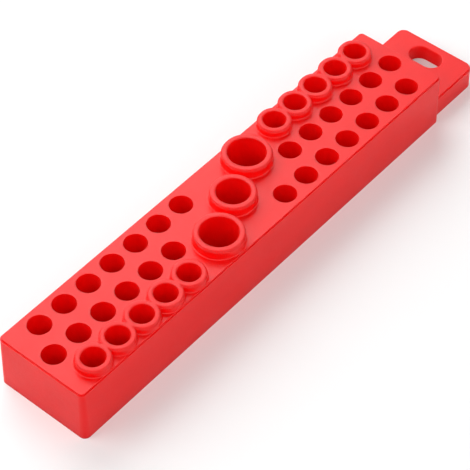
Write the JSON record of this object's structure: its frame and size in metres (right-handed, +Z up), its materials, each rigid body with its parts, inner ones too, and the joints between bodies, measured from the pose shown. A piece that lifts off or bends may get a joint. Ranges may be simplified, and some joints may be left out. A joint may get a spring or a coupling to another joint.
{
  "type": "magnetic bit holder",
  "caption": "Red moulded bench rack with rows of round pockets for hex bits and nut drivers, a slotted hanging tab and a magnet strip in its base.",
  "frame": {"origin": "centre of the block's footprint on its base plane, leaving the tab out", "axes": "+X along the rack towards the hanging tab, +Z up out of the pockets"},
  "size_m": [0.1908, 0.0336, 0.0232],
  "materials": {
    "red_plastic": "satin moulded",
    "magnet_rubber": "matt calendered sheet"
  },
  "bodies": {
    "root": {"rack_body": "red_plastic", "magnet_strip": "magnet_rubber"}
  },
  "joints": []
}
